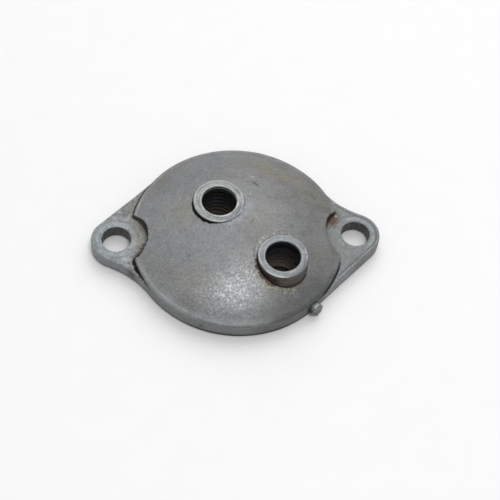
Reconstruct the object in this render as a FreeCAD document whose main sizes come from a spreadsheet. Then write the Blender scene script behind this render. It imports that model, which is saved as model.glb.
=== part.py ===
import FreeCAD, Part
import os
import math
import Sketcher
from FreeCAD import Vector, Placement, Rotation

# Two-port domed head: an eared plate, a domed cover seated in it, two port
# sleeves, a locating stub on the rim, and the rings that seal and hold it.
# Millimetres, +Z up, origin under the middle of the gasket's lower face,
# X through both bolt holes.

os.makedirs("parts", exist_ok=True)
doc = FreeCAD.newDocument("DomedHead")

# ---------------------------------------------------------------- parameters
VALUES = [
    ("gasket_t", 0.3),
    ("plate_t", 3.7),
    ("disc_r", 25.2),
    ("tip_r", 6.0),
    ("bolt_half", 28.575),
    ("bolt_hole_r", 3.35),
    ("scoop_r", 23.0),
    ("notch_r", 7.3),
    ("plate_bore_r", 20.0),
    ("rebate_r", 21.0),
    ("rebate_d", 0.8),
    ("under_r", 21.6),
    ("under_d", 1.6),
    ("dome_sphere_r", 41.0),
    ("dome_foot_r", 24.2),
    ("rim_z", 5.0),
    ("rim_round", 0.5),
    ("hollow_r", 18.6),
    ("hollow_z", 7.2),
    ("spigot_r", 19.95),
    ("spigot_z", 0.6),
    ("snap_in_r", 19.45),
    ("snap_out_r", 21.3),
    ("snap_lo", 1.0),
    ("snap_hi", 1.9),
    ("rear_x", -4.41),
    ("rear_y", 4.25),
    ("rear_r", 6.1),
    ("rear_top", 12.75),
    ("rear_tail_r", 5.6),
    ("rear_tail_z", 0.8),
    ("rear_collar_r", 7.2),
    ("rear_collar_t", 1.5),
    ("gap_r", 6.25),
    ("gap_off", 0.25),
    ("gap_floor", 10.4),
    ("port_r", 4.065),
    ("front_x", 9.34),
    ("front_y", -11.03),
    ("front_r", 5.9),
    ("front_top", 12.0),
    ("front_lip", 2.4),
    ("front_wide_r", 4.3),
    ("front_tail_r", 4.8),
    ("front_tail_z", 0.6),
    ("mouth_bevel", 0.3),
    ("stub_r", 1.7),
    ("stub_len", 1.9),
    ("stub_bevel", 0.35),
    ("shank_r", 0.9),
    ("shank_len", 3.0),
    ("stub_z", 2.25),
    ("gasket_in_r", 21.8),
    ("gasket_out_r", 24.9),
]
P = dict(VALUES)
STUB_DEG = -49.0
GAP_DEG = 212.0

sheet = doc.addObject("Spreadsheet::Sheet", "Params")
for i, (name, value) in enumerate(VALUES):
    sheet.set("A%d" % (i + 1), name)
    sheet.set("B%d" % (i + 1), repr(value))
    sheet.setAlias("B%d" % (i + 1), name)
doc.recompute()


# ------------------------------------------------------------------- helpers
def plane(body, role):
    for feature in body.Origin.OriginFeatures:
        if feature.Role == role:
            return feature
    raise RuntimeError("no plane " + role)


def new_body(label):
    body = doc.addObject("PartDesign::Body", label)
    body.Label = label
    return body


def new_sketch(body, name, role="XY_Plane", offset=None):
    sketch = body.newObject("Sketcher::SketchObject", name)
    sketch.AttachmentSupport = [(plane(body, role), "")]
    sketch.MapMode = "FlatFace"
    if offset is not None:
        sketch.AttachmentOffset = offset
    return sketch


def bind(sketch, index, name, expression):
    sketch.renameConstraint(index, name)
    sketch.setExpression("Constraints." + name, expression)


def circle(sketch, name, x, y, r, ex=None, ey=None, er=None):
    g = sketch.addGeometry(Part.Circle(Vector(x, y, 0), Vector(0, 0, 1), r), False)
    c = sketch.addConstraint(Sketcher.Constraint("Radius", g, r))
    if er:
        bind(sketch, c, name + "_r", er)
    if abs(x) < 1e-9 and abs(y) < 1e-9 and not ex and not ey:
        sketch.addConstraint(Sketcher.Constraint("Coincident", g, 3, -1, 1))
        return g
    for value, kind, expression, tag in ((x, "DistanceX", ex, "_x"), (y, "DistanceY", ey, "_y")):
        if abs(value) < 1e-9:
            on_axis = -2 if kind == "DistanceX" else -1
            sketch.addConstraint(Sketcher.Constraint("PointOnObject", g, 3, on_axis))
            continue
        c = sketch.addConstraint(Sketcher.Constraint(kind, -1, 1, g, 3, value))
        if expression:
            bind(sketch, c, name + tag, expression)
    return g


def pad(body, name, sketch, length, expression=None):
    feature = body.newObject("PartDesign::Pad", name)
    feature.Profile = sketch
    feature.Length = length
    if expression:
        feature.setExpression("Length", expression)
    sketch.Visibility = False
    doc.recompute()
    return feature


def pocket(body, name, sketch, length=None, expression=None, through=False, reverse=False, midplane=False):
    before = body.Shape.Volume
    feature = body.newObject("PartDesign::Pocket", name)
    feature.Profile = sketch
    if through:
        feature.Type = 1
        feature.Midplane = midplane
    else:
        feature.Length = length
        if expression:
            feature.setExpression("Length", expression)
    feature.Reversed = reverse
    sketch.Visibility = False
    doc.recompute()
    after = body.Shape.Volume
    print("%s %s removed %.3f mm3" % (body.Label, name, before - after))
    if before - after < 0.01:
        raise RuntimeError(body.Label + " " + name + " did not cut")
    return feature


def profile(sketch, points, binds, arcs=None):
    """Closed half-section. points: (r, z) in order; arcs: edge index ->
    (centre r, centre z, sense) for the edge that starts at that point;
    binds: (point index, axis, expression) on the vertices."""
    arcs = arcs or {}
    n = len(points)
    edges = []
    for i in range(n):
        a = points[i]
        b = points[(i + 1) % n]
        if i in arcs:
            cx, cy, ccw = arcs[i]
            r = math.hypot(a[0] - cx, a[1] - cy)
            aa = math.atan2(a[1] - cy, a[0] - cx)
            ab = math.atan2(b[1] - cy, b[0] - cx)
            base = Part.Circle(Vector(cx, cy, 0), Vector(0, 0, 1), r)
            arc = Part.ArcOfCircle(base, aa, ab) if ccw else Part.ArcOfCircle(base, ab, aa)
            g = sketch.addGeometry(arc, False)
            edges.append((g, 1, 2) if ccw else (g, 2, 1))
        else:
            g = sketch.addGeometry(Part.LineSegment(Vector(a[0], a[1], 0), Vector(b[0], b[1], 0)), False)
            edges.append((g, 1, 2))
    for i in range(n):
        g, s, e = edges[i]
        h, hs, he = edges[(i + 1) % n]
        sketch.addConstraint(Sketcher.Constraint("Coincident", g, e, h, hs))
    for i in range(n):
        g, s, e = edges[i]
        for axis, value in (("DistanceX", points[i][0]), ("DistanceY", points[i][1])):
            expression = binds.get((i, "r" if axis == "DistanceX" else "z"))
            if abs(value) < 1e-9:
                sketch.addConstraint(Sketcher.Constraint("PointOnObject", g, s, -2 if axis == "DistanceX" else -1))
                continue
            c = sketch.addConstraint(Sketcher.Constraint(axis, -1, 1, g, s, value))
            if expression:
                bind(sketch, c, "p%d_%s" % (i, "r" if axis == "DistanceX" else "z"), expression)
    return edges


def revolve(body, name, sketch):
    feature = body.newObject("PartDesign::Revolution", name)
    feature.Profile = sketch
    feature.ReferenceAxis = (sketch, ["V_Axis"])
    feature.Angle = 360.0
    sketch.Visibility = False
    doc.recompute()
    return feature


# -------------------------------------------------------------- flange plate
# Outline: two tip arcs, two disc arcs, two straight sides tangent to both,
# two scooped sides tangent to both. It repeats after half a turn.
R, r, d, q = P["disc_r"], P["tip_r"], P["bolt_half"], P["scoop_r"]
plate = new_body("flange_plate")
plate.setExpression("Placement.Base.z", "Params.gasket_t")
sk = new_sketch(plate, "plate_outline")

nx = (R - r) / d
ny = math.sqrt(1.0 - nx * nx)
cx = ((r + q) ** 2 - (R + q) ** 2 - d * d) / (2.0 * d)
cy = math.sqrt((R + q) ** 2 - cx * cx)
ids = {}
for tag, sg in (("a", 1.0), ("b", -1.0)):
    tip = Vector(-d * sg, 0, 0)
    scoop = Vector(cx * sg, -cy * sg, 0)
    disc_t = Vector(-R * nx * sg, R * ny * sg, 0)
    tip_t = tip + Vector(-r * nx * sg, r * ny * sg, 0)
    tip_s = tip + (scoop - tip).normalize().multiply(r)
    scoop = Vector(cx * sg, -cy * sg, 0)
    disc_s = Vector(scoop.x, scoop.y, 0).normalize().multiply(R)
    scoop = Vector(cx * sg, -cy * sg, 0)
    next_t = Vector(-disc_t.x, -disc_t.y, 0)

    def ang(p, c):
        return math.atan2(p.y - c.y, p.x - c.x)

    Z = Vector(0, 0, 1)
    O = Vector(0, 0, 0)
    ids["line" + tag] = sk.addGeometry(Part.LineSegment(disc_t, tip_t), False)
    ids["tip" + tag] = sk.addGeometry(Part.ArcOfCircle(Part.Circle(tip, Z, r), ang(tip_t, tip), ang(tip_s, tip)), False)
    ids["scoop" + tag] = sk.addGeometry(Part.ArcOfCircle(Part.Circle(scoop, Z, q), ang(disc_s, scoop), ang(tip_s, scoop)), False)
    ids["disc" + tag] = sk.addGeometry(Part.ArcOfCircle(Part.Circle(O, Z, R), ang(disc_s, O), ang(next_t, O)), False)
for tag, other in (("a", "b"), ("b", "a")):
    sk.addConstraint(Sketcher.Constraint("Coincident", ids["disc" + tag], 3, -1, 1))
for tag, other in (("a", "b"), ("b", "a")):
    sk.addConstraint(Sketcher.Constraint("Tangent", ids["line" + tag], 2, ids["tip" + tag], 1))
    sk.addConstraint(Sketcher.Constraint("Tangent", ids["tip" + tag], 2, ids["scoop" + tag], 2))
    sk.addConstraint(Sketcher.Constraint("Tangent", ids["scoop" + tag], 1, ids["disc" + tag], 1))
    sk.addConstraint(Sketcher.Constraint("Tangent", ids["disc" + tag], 2, ids["line" + other], 1))
for tag, sg in (("a", 1.0), ("b", -1.0)):
    c = sk.addConstraint(Sketcher.Constraint("Radius", ids["disc" + tag], R))
    bind(sk, c, "disc_r_" + tag, "Params.disc_r")
    c = sk.addConstraint(Sketcher.Constraint("Radius", ids["tip" + tag], r))
    bind(sk, c, "tip_r_" + tag, "Params.tip_r")
    c = sk.addConstraint(Sketcher.Constraint("Radius", ids["scoop" + tag], q))
    bind(sk, c, "scoop_r_" + tag, "Params.scoop_r")
    c = sk.addConstraint(Sketcher.Constraint("DistanceX", -1, 1, ids["tip" + tag], 3, -d * sg))
    bind(sk, c, "tip_x_" + tag, ("-" if sg > 0 else "") + "Params.bolt_half")
    sk.addConstraint(Sketcher.Constraint("PointOnObject", ids["tip" + tag], 3, -1))
print("outline solve", sk.solve())
doc.recompute()
pad(plate, "plate_pad", sk, P["plate_t"], "Params.plate_t")
print("plate blank", round(plate.Shape.Volume, 2), plate.Shape.BoundBox)

sk = new_sketch(plate, "bolt_hole_sketch")
circle(sk, "right", d, 0, P["bolt_hole_r"], "Params.bolt_half", None, "Params.bolt_hole_r")
pocket(plate, "bolt_hole", sk, through=True, reverse=True)
pattern = plate.newObject("PartDesign::PolarPattern", "bolt_holes")
pattern.Originals = [doc.getObject("bolt_hole")]
pattern.Axis = (plane(plate, "Z_Axis"), [""])
pattern.Angle = 360.0
pattern.Occurrences = 2
plate.Tip = pattern
doc.recompute()
print("plate after bolt holes", round(plate.Shape.Volume, 2))

sk = new_sketch(plate, "bore_sketch")
circle(sk, "bore", 0, 0, P["plate_bore_r"], er="Params.plate_bore_r")
pocket(plate, "bore", sk, through=True, reverse=True)

sk = new_sketch(plate, "under_sketch")
circle(sk, "under", 0, 0, P["under_r"], er="Params.under_r")
pocket(plate, "under_step", sk, P["under_d"], "Params.under_d", reverse=True)

sk = new_sketch(plate, "rebate_sketch", offset=Placement(Vector(0, 0, P["plate_t"]), Rotation()))
sk.setExpression("AttachmentOffset.Base.z", "Params.plate_t")
circle(sk, "rebate", 0, 0, P["rebate_r"], er="Params.rebate_r")
pocket(plate, "seal_rebate", sk, P["rebate_d"], "Params.rebate_d")

# blind radial hole for the locating stub
turn = 90.0 + STUB_DEG
start = P["disc_r"] - P["shank_len"]
sk = new_sketch(
    plate, "stub_hole_sketch", "XZ_Plane",
    Placement(
        Vector(start * math.sin(math.radians(turn)), 0, start * math.cos(math.radians(turn))),
        Rotation(Vector(0, 1, 0), turn),
    ),
)
circle(sk, "stub", 0, P["stub_z"] - P["gasket_t"], P["shank_r"], None, "Params.stub_z - Params.gasket_t", "Params.shank_r")
pocket(plate, "stub_hole", sk, P["shank_len"] + 1.0, "Params.shank_len + 1", reverse=True)

# ---------------------------------------------------------------- dome cover
dome = new_body("dome_cover")
Rs = P["dome_sphere_r"]
zc = P["rim_z"] - math.sqrt(Rs ** 2 - P["dome_foot_r"] ** 2)
apex = zc + Rs
rr = P["rim_round"]
sk = new_sketch(dome, "dome_section", "XZ_Plane")
pts = [
    (0.0, P["hollow_z"]),
    (P["hollow_r"], P["hollow_z"]),
    (P["hollow_r"], P["spigot_z"]),
    (P["spigot_r"], P["spigot_z"]),
    (P["spigot_r"], P["snap_lo"]),
    (P["snap_in_r"], P["snap_lo"]),
    (P["snap_in_r"], P["snap_hi"]),
    (P["spigot_r"], P["snap_hi"]),
    (P["spigot_r"], P["gasket_t"] + P["plate_t"]),
    (R, P["gasket_t"] + P["plate_t"]),
    (R, P["rim_z"] - rr),
    (R - rr, P["rim_z"]),
    (P["dome_foot_r"], P["rim_z"]),
    (0.0, apex),
]
binds = {
    (0, "z"): "Params.hollow_z",
    (1, "r"): "Params.hollow_r",
    (1, "z"): "Params.hollow_z",
    (2, "r"): "Params.hollow_r",
    (2, "z"): "Params.spigot_z",
    (3, "r"): "Params.spigot_r",
    (3, "z"): "Params.spigot_z",
    (4, "r"): "Params.spigot_r",
    (4, "z"): "Params.snap_lo",
    (5, "r"): "Params.snap_in_r",
    (5, "z"): "Params.snap_lo",
    (6, "r"): "Params.snap_in_r",
    (6, "z"): "Params.snap_hi",
    (7, "r"): "Params.spigot_r",
    (7, "z"): "Params.snap_hi",
    (8, "r"): "Params.spigot_r",
    (8, "z"): "Params.gasket_t + Params.plate_t",
    (9, "r"): "Params.disc_r",
    (9, "z"): "Params.gasket_t + Params.plate_t",
    (10, "r"): "Params.disc_r",
    (10, "z"): "Params.rim_z - Params.rim_round",
    (11, "r"): "Params.disc_r - Params.rim_round",
    (11, "z"): "Params.rim_z",
    (12, "r"): "Params.dome_foot_r",
    (12, "z"): "Params.rim_z",
}
edges = profile(sk, pts, binds, {10: (R - rr, P["rim_z"] - rr, True), 12: (0.0, zc, True)})
c = sk.addConstraint(Sketcher.Constraint("Radius", edges[10][0], rr))
bind(sk, c, "rim_round", "Params.rim_round")
# the crown arc's centre stays on the axis; its top vertex fixes the radius
print("dome section solve", sk.solve())
doc.recompute()
revolve(dome, "dome_solid", sk)
print("dome solid", round(dome.Shape.Volume, 2), dome.Shape.BoundBox, "apex", round(apex, 3))


def top_sketch(body, name, z, expression=None):
    s = new_sketch(body, name, offset=Placement(Vector(0, 0, z), Rotation()))
    if expression:
        s.setExpression("AttachmentOffset.Base.z", expression)
    return s


sk = top_sketch(dome, "rear_seat_sketch", 14.0)
circle(sk, "rear", P["rear_x"], P["rear_y"], P["rear_r"], "Params.rear_x", "Params.rear_y", "Params.rear_r")
pocket(dome, "rear_seat", sk, 14.0 - P["hollow_z"] + 0.5, "14 - Params.hollow_z + 0.5")

gx = P["gap_off"] * math.cos(math.radians(GAP_DEG))
gy = P["gap_off"] * math.sin(math.radians(GAP_DEG))
sk = top_sketch(dome, "gap_sketch", 14.0)
circle(sk, "gap", P["rear_x"] + gx, P["rear_y"] + gy, P["gap_r"],
       "Params.rear_x + Params.gap_off * cos(%g deg)" % GAP_DEG,
       "Params.rear_y + Params.gap_off * sin(%g deg)" % GAP_DEG, "Params.gap_r")
pocket(dome, "crescent_gap", sk, 14.0 - P["gap_floor"], "14 - Params.gap_floor")

sk = top_sketch(dome, "front_seat_sketch", 14.0)
circle(sk, "front", P["front_x"], P["front_y"], P["front_r"], "Params.front_x", "Params.front_y", "Params.front_r")
pocket(dome, "front_seat", sk, 14.0 - P["hollow_z"], "14 - Params.hollow_z")

sk = top_sketch(dome, "front_tail_sketch", 14.0)
circle(sk, "front_tail", P["front_x"], P["front_y"], P["front_tail_r"], "Params.front_x", "Params.front_y", "Params.front_tail_r")
pocket(dome, "front_tail_seat", sk, 14.0 - P["front_tail_z"], "14 - Params.front_tail_z")

sk = top_sketch(dome, "notch_sketch", 14.0)
circle(sk, "notch", P["bolt_half"], 0, P["notch_r"], "Params.bolt_half", None, "Params.notch_r")
pocket(dome, "notch", sk, 10.5)
pattern = dome.newObject("PartDesign::PolarPattern", "notches")
pattern.Originals = [doc.getObject("notch")]
pattern.Axis = (plane(dome, "Z_Axis"), [""])
pattern.Angle = 360.0
pattern.Occurrences = 2
dome.Tip = pattern
doc.recompute()
print("dome with notches", round(dome.Shape.Volume, 2))

# ---------------------------------------------------------- rear port sleeve
rear = new_body("rear_port_sleeve")
rear.setExpression("Placement.Base.x", "Params.rear_x")
rear.setExpression("Placement.Base.y", "Params.rear_y")
sk = new_sketch(rear, "rear_section", "XZ_Plane")
b = P["mouth_bevel"]
pts = [
    (P["port_r"], P["rear_tail_z"]),
    (P["rear_tail_r"], P["rear_tail_z"]),
    (P["rear_tail_r"], P["hollow_z"] - P["rear_collar_t"]),
    (P["rear_collar_r"], P["hollow_z"] - P["rear_collar_t"]),
    (P["rear_collar_r"], P["hollow_z"]),
    (P["rear_r"], P["hollow_z"]),
    (P["rear_r"], P["rear_top"] - b),
    (P["rear_r"] - b, P["rear_top"]),
    (P["port_r"] + b, P["rear_top"]),
    (P["port_r"], P["rear_top"] - b),
]
binds = {
    (0, "r"): "Params.port_r", (0, "z"): "Params.rear_tail_z",
    (1, "r"): "Params.rear_tail_r", (1, "z"): "Params.rear_tail_z",
    (2, "r"): "Params.rear_tail_r", (2, "z"): "Params.hollow_z - Params.rear_collar_t",
    (3, "r"): "Params.rear_collar_r", (3, "z"): "Params.hollow_z - Params.rear_collar_t",
    (4, "r"): "Params.rear_collar_r", (4, "z"): "Params.hollow_z",
    (5, "r"): "Params.rear_r", (5, "z"): "Params.hollow_z",
    (6, "r"): "Params.rear_r", (6, "z"): "Params.rear_top - Params.mouth_bevel",
    (7, "r"): "Params.rear_r - Params.mouth_bevel", (7, "z"): "Params.rear_top",
    (8, "r"): "Params.port_r + Params.mouth_bevel", (8, "z"): "Params.rear_top",
    (9, "r"): "Params.port_r", (9, "z"): "Params.rear_top - Params.mouth_bevel",
}
profile(sk, pts, binds)
doc.recompute()
revolve(rear, "rear_solid", sk)

# --------------------------------------------------------- front port sleeve
front = new_body("front_port_sleeve")
front.setExpression("Placement.Base.x", "Params.front_x")
front.setExpression("Placement.Base.y", "Params.front_y")
sk = new_sketch(front, "front_section", "XZ_Plane")
ft = P["front_top"]
pts = [
    (P["front_wide_r"], P["front_tail_z"]),
    (P["front_tail_r"], P["front_tail_z"]),
    (P["front_tail_r"], P["hollow_z"]),
    (P["front_r"], P["hollow_z"]),
    (P["front_r"], ft - b),
    (P["front_r"] - b, ft),
    (P["port_r"] + b, ft),
    (P["port_r"], ft - b),
    (P["port_r"], ft - P["front_lip"]),
    (P["front_wide_r"], ft - P["front_lip"]),
]
binds = {
    (0, "r"): "Params.front_wide_r", (0, "z"): "Params.front_tail_z",
    (1, "r"): "Params.front_tail_r", (1, "z"): "Params.front_tail_z",
    (2, "r"): "Params.front_tail_r", (2, "z"): "Params.hollow_z",
    (3, "r"): "Params.front_r", (3, "z"): "Params.hollow_z",
    (4, "r"): "Params.front_r", (4, "z"): "Params.front_top - Params.mouth_bevel",
    (5, "r"): "Params.front_r - Params.mouth_bevel", (5, "z"): "Params.front_top",
    (6, "r"): "Params.port_r + Params.mouth_bevel", (6, "z"): "Params.front_top",
    (7, "r"): "Params.port_r", (7, "z"): "Params.front_top - Params.mouth_bevel",
    (8, "r"): "Params.port_r", (8, "z"): "Params.front_top - Params.front_lip",
    (9, "r"): "Params.front_wide_r", (9, "z"): "Params.front_top - Params.front_lip",
}
profile(sk, pts, binds)
doc.recompute()
revolve(front, "front_solid", sk)

# ----------------------------------------------------------------- rim stub
stub = new_body("index_pin")
sk = new_sketch(stub, "stub_section", "XZ_Plane")
L1, L2, e = P["shank_len"], P["stub_len"], P["stub_bevel"]
pts = [
    (0.0, -L1),
    (P["shank_r"], -L1),
    (P["shank_r"], 0.0),
    (P["stub_r"], 0.0),
    (P["stub_r"], L2 - e),
    (P["stub_r"] - e, L2),
    (0.0, L2),
]
binds = {
    (0, "z"): "-Params.shank_len",
    (1, "r"): "Params.shank_r", (1, "z"): "-Params.shank_len",
    (2, "r"): "Params.shank_r",
    (3, "r"): "Params.stub_r",
    (4, "r"): "Params.stub_r", (4, "z"): "Params.stub_len - Params.stub_bevel",
    (5, "r"): "Params.stub_r - Params.stub_bevel", (5, "z"): "Params.stub_len",
    (6, "z"): "Params.stub_len",
}
profile(sk, pts, binds)
doc.recompute()
revolve(stub, "stub_solid", sk)
aim = Vector(math.cos(math.radians(STUB_DEG)), math.sin(math.radians(STUB_DEG)), 0)
stub.Placement = Placement(
    Vector(R * aim.x, R * aim.y, P["stub_z"]), Rotation(Vector(0, 0, 1), aim)
)
stub.setExpression("Placement.Base.x", "Params.disc_r * cos(%g deg)" % STUB_DEG)
stub.setExpression("Placement.Base.y", "Params.disc_r * sin(%g deg)" % STUB_DEG)
stub.setExpression("Placement.Base.z", "Params.stub_z")
doc.recompute()


# --------------------------------------------------------------- thin rings
def ring(label, inner, outer, low, height, names):
    body = new_body(label)
    body.Placement = Placement(Vector(0, 0, low), Rotation())
    if names[2]:
        body.setExpression("Placement.Base.z", names[2])
    s = new_sketch(body, label + "_sketch")
    circle(s, "inner", 0, 0, inner, er=names[0])
    circle(s, "outer", 0, 0, outer, er=names[1])
    doc.recompute()
    pad(body, label + "_pad", s, height, names[3])
    return body


gasket = ring("head_gasket", P["gasket_in_r"], P["gasket_out_r"], 0.0, P["gasket_t"],
              ("Params.gasket_in_r", "Params.gasket_out_r", None, "Params.gasket_t"))
seal = ring("cover_seal", P["plate_bore_r"], P["rebate_r"],
            P["gasket_t"] + P["plate_t"] - P["rebate_d"], P["rebate_d"],
            ("Params.plate_bore_r", "Params.rebate_r",
             "Params.gasket_t + Params.plate_t - Params.rebate_d", "Params.rebate_d"))
snap = ring("retaining_ring", P["snap_in_r"], P["snap_out_r"], P["snap_lo"],
            P["snap_hi"] - P["snap_lo"],
            ("Params.snap_in_r", "Params.snap_out_r", "Params.snap_lo",
             "Params.snap_hi - Params.snap_lo"))
# opening of the C
sk = new_sketch(snap, "snap_gap_sketch")
w, y0, y1 = 3.0, 17.0, 24.0
corners = [Vector(-w, y0, 0), Vector(w, y0, 0), Vector(w, y1, 0), Vector(-w, y1, 0)]
for i in range(4):
    sk.addGeometry(Part.LineSegment(corners[i], corners[(i + 1) % 4]), False)
for i in range(4):
    sk.addConstraint(Sketcher.Constraint("Coincident", i, 2, (i + 1) % 4, 1))
for i, kind in ((0, "Horizontal"), (1, "Vertical"), (2, "Horizontal"), (3, "Vertical")):
    sk.addConstraint(Sketcher.Constraint(kind, i))
sk.addConstraint(Sketcher.Constraint("DistanceX", -1, 1, 0, 1, -w))
sk.addConstraint(Sketcher.Constraint("DistanceY", -1, 1, 0, 1, y0))
sk.addConstraint(Sketcher.Constraint("DistanceX", -1, 1, 1, 2, w))
sk.addConstraint(Sketcher.Constraint("DistanceY", -1, 1, 1, 2, y1))
doc.recompute()
pocket(snap, "snap_gap", sk, through=True, reverse=True)

# ----------------------------------------------------------- check and export
doc.recompute()
bodies = [plate, dome, rear, front, stub, seal, snap, gasket]
for obj in doc.Objects:
    bad = [s for s in obj.State if s in ("Invalid", "Error")]
    if bad:
        raise RuntimeError("%s is %s" % (obj.Name, bad))
for obj in bodies:
    shape = obj.Shape
    if shape.isNull() or not shape.isValid():
        raise RuntimeError(obj.Label + " has a bad shape")
    if len(shape.Solids) != 1:
        raise RuntimeError(obj.Label + " has %d solids" % len(shape.Solids))
    shape.exportStep("parts/%s.step" % obj.Label)
    bb = shape.BoundBox
    print("%-18s volume %9.2f  x %.2f..%.2f  y %.2f..%.2f  z %.2f..%.2f" % (
        obj.Label, shape.Volume, bb.XMin, bb.XMax, bb.YMin, bb.YMax, bb.ZMin, bb.ZMax))
for i in range(len(bodies)):
    for j in range(i + 1, len(bodies)):
        v = bodies[i].Shape.common(bodies[j].Shape).Volume
        if v > 0.001:
            print("overlap", bodies[i].Label, bodies[j].Label, round(v, 4))
print("done")
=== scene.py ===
import bpy
import math
import time
import numpy as np
from mathutils import Matrix, Vector


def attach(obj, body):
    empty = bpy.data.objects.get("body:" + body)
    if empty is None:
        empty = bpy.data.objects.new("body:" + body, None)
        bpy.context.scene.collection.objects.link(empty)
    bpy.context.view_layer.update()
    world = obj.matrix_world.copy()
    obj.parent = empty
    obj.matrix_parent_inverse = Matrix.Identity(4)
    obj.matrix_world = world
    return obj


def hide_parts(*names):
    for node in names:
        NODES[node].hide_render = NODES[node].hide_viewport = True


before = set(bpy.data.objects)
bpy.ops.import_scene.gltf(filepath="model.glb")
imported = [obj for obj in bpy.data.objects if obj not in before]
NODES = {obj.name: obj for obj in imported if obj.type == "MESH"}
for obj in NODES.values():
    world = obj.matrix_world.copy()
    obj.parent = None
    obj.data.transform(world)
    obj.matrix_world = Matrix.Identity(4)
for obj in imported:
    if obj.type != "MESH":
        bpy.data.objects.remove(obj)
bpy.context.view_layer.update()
MM = 0.001
T0 = time.time()

# sizes in millimetres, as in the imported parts
DISC_R, TIP_R, BOLT, HOLE_R, SCOOP_R, NOTCH_R = 25.2, 6.0, 28.575, 3.35, 23.0, 7.3
BASE_Z, PLATE_Z, RIM_Z = 0.3, 4.0, 5.0
FOOT_R, SPH_R = 24.2, 41.0
ZC = RIM_Z - math.sqrt(SPH_R ** 2 - FOOT_R ** 2)
B1X, B1Y, B1R, B1Z = -4.41, 4.25, 6.1, 12.75
B2X, B2Y, B2R, B2Z = 9.34, -11.03, 5.9, 12.0
PORT_R = 4.065
STUB_A = math.radians(-49.0)


# ------------------------------------------------------------------ numerics
class Noise:
    """Gradient noise on numpy points, the same on every run."""

    def __init__(self, seed):
        rng = np.random.RandomState(seed)
        self.perm = np.concatenate([rng.permutation(256)] * 3)
        g = rng.normal(size=(256, 3))
        self.grad = g / np.linalg.norm(g, axis=1)[:, None]

    def __call__(self, p, size):
        q = np.asarray(p, float) / size
        i = np.floor(q).astype(int)
        f = q - i
        u = f * f * f * (f * (f * 6 - 15) + 10)
        i &= 255
        out = np.zeros(len(q))
        for dx in (0, 1):
            for dy in (0, 1):
                for dz in (0, 1):
                    h = self.perm[self.perm[self.perm[i[:, 0] + dx] + i[:, 1] + dy] + i[:, 2] + dz]
                    g = self.grad[h]
                    d = g[:, 0] * (f[:, 0] - dx) + g[:, 1] * (f[:, 1] - dy) + g[:, 2] * (f[:, 2] - dz)
                    w = (
                        (u[:, 0] if dx else 1 - u[:, 0])
                        * (u[:, 1] if dy else 1 - u[:, 1])
                        * (u[:, 2] if dz else 1 - u[:, 2])
                    )
                    out += w * d
        return out * 1.5

    def fbm(self, p, size, octaves=4, gain=0.5):
        total, amp = 0.0, 1.0
        for k in range(octaves):
            total = total + amp * self(np.asarray(p) + 37.7 * k, size / 2 ** k)
            amp *= gain
        return total


N1, N2, N3, N4 = Noise(11), Noise(23), Noise(57), Noise(91)


def smin(a, b, k):
    h = np.maximum(k - np.abs(a - b), 0.0) / k
    return np.minimum(a, b) - h * h * k * 0.25


def smax(a, b, k):
    return -smin(-a, -b, k)


def step(x, lo, hi):
    t = np.clip((x - lo) / (hi - lo), 0.0, 1.0)
    return t * t * (3 - 2 * t)


def arc_gap(th, a, b):
    """0 outside the arc a..b degrees, 1 inside, soft at its ends."""
    deg = np.degrees(th) % 360.0
    return step(deg, a, a + 12) * (1 - step(deg, b - 12, b))


TURN = np.linspace(-math.pi, math.pi, 2881)
TABLES = {}


def ragged(th, scale, seed_noise, octaves=3):
    """Uneven line round a circle, kept as a table so that it is quick."""
    key = (scale, id(seed_noise), octaves)
    if key not in TABLES:
        q = np.stack([np.cos(TURN) * scale, np.sin(TURN) * scale, np.zeros_like(TURN)], 1)
        TABLES[key] = seed_noise.fbm(q, 1.0, octaves)
    flat = (th + math.pi) % (2 * math.pi) - math.pi
    return np.interp(flat, TURN, TABLES[key])


# ------------------------------------------------------------ implicit shapes
def polar(p):
    return np.hypot(p[:, 0], p[:, 1]), np.arctan2(p[:, 1], p[:, 0])


def sphere_part(p):
    return np.sqrt(p[:, 0] ** 2 + p[:, 1] ** 2 + (p[:, 2] - ZC) ** 2) - SPH_R


GAP_A = math.radians(238.0)
FLUSH_A, FLUSH2_A = math.radians(318.0), math.radians(128.0)
GX, GY = B1X + 0.17 * math.cos(GAP_A), B1Y + 0.17 * math.sin(GAP_A)


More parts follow.
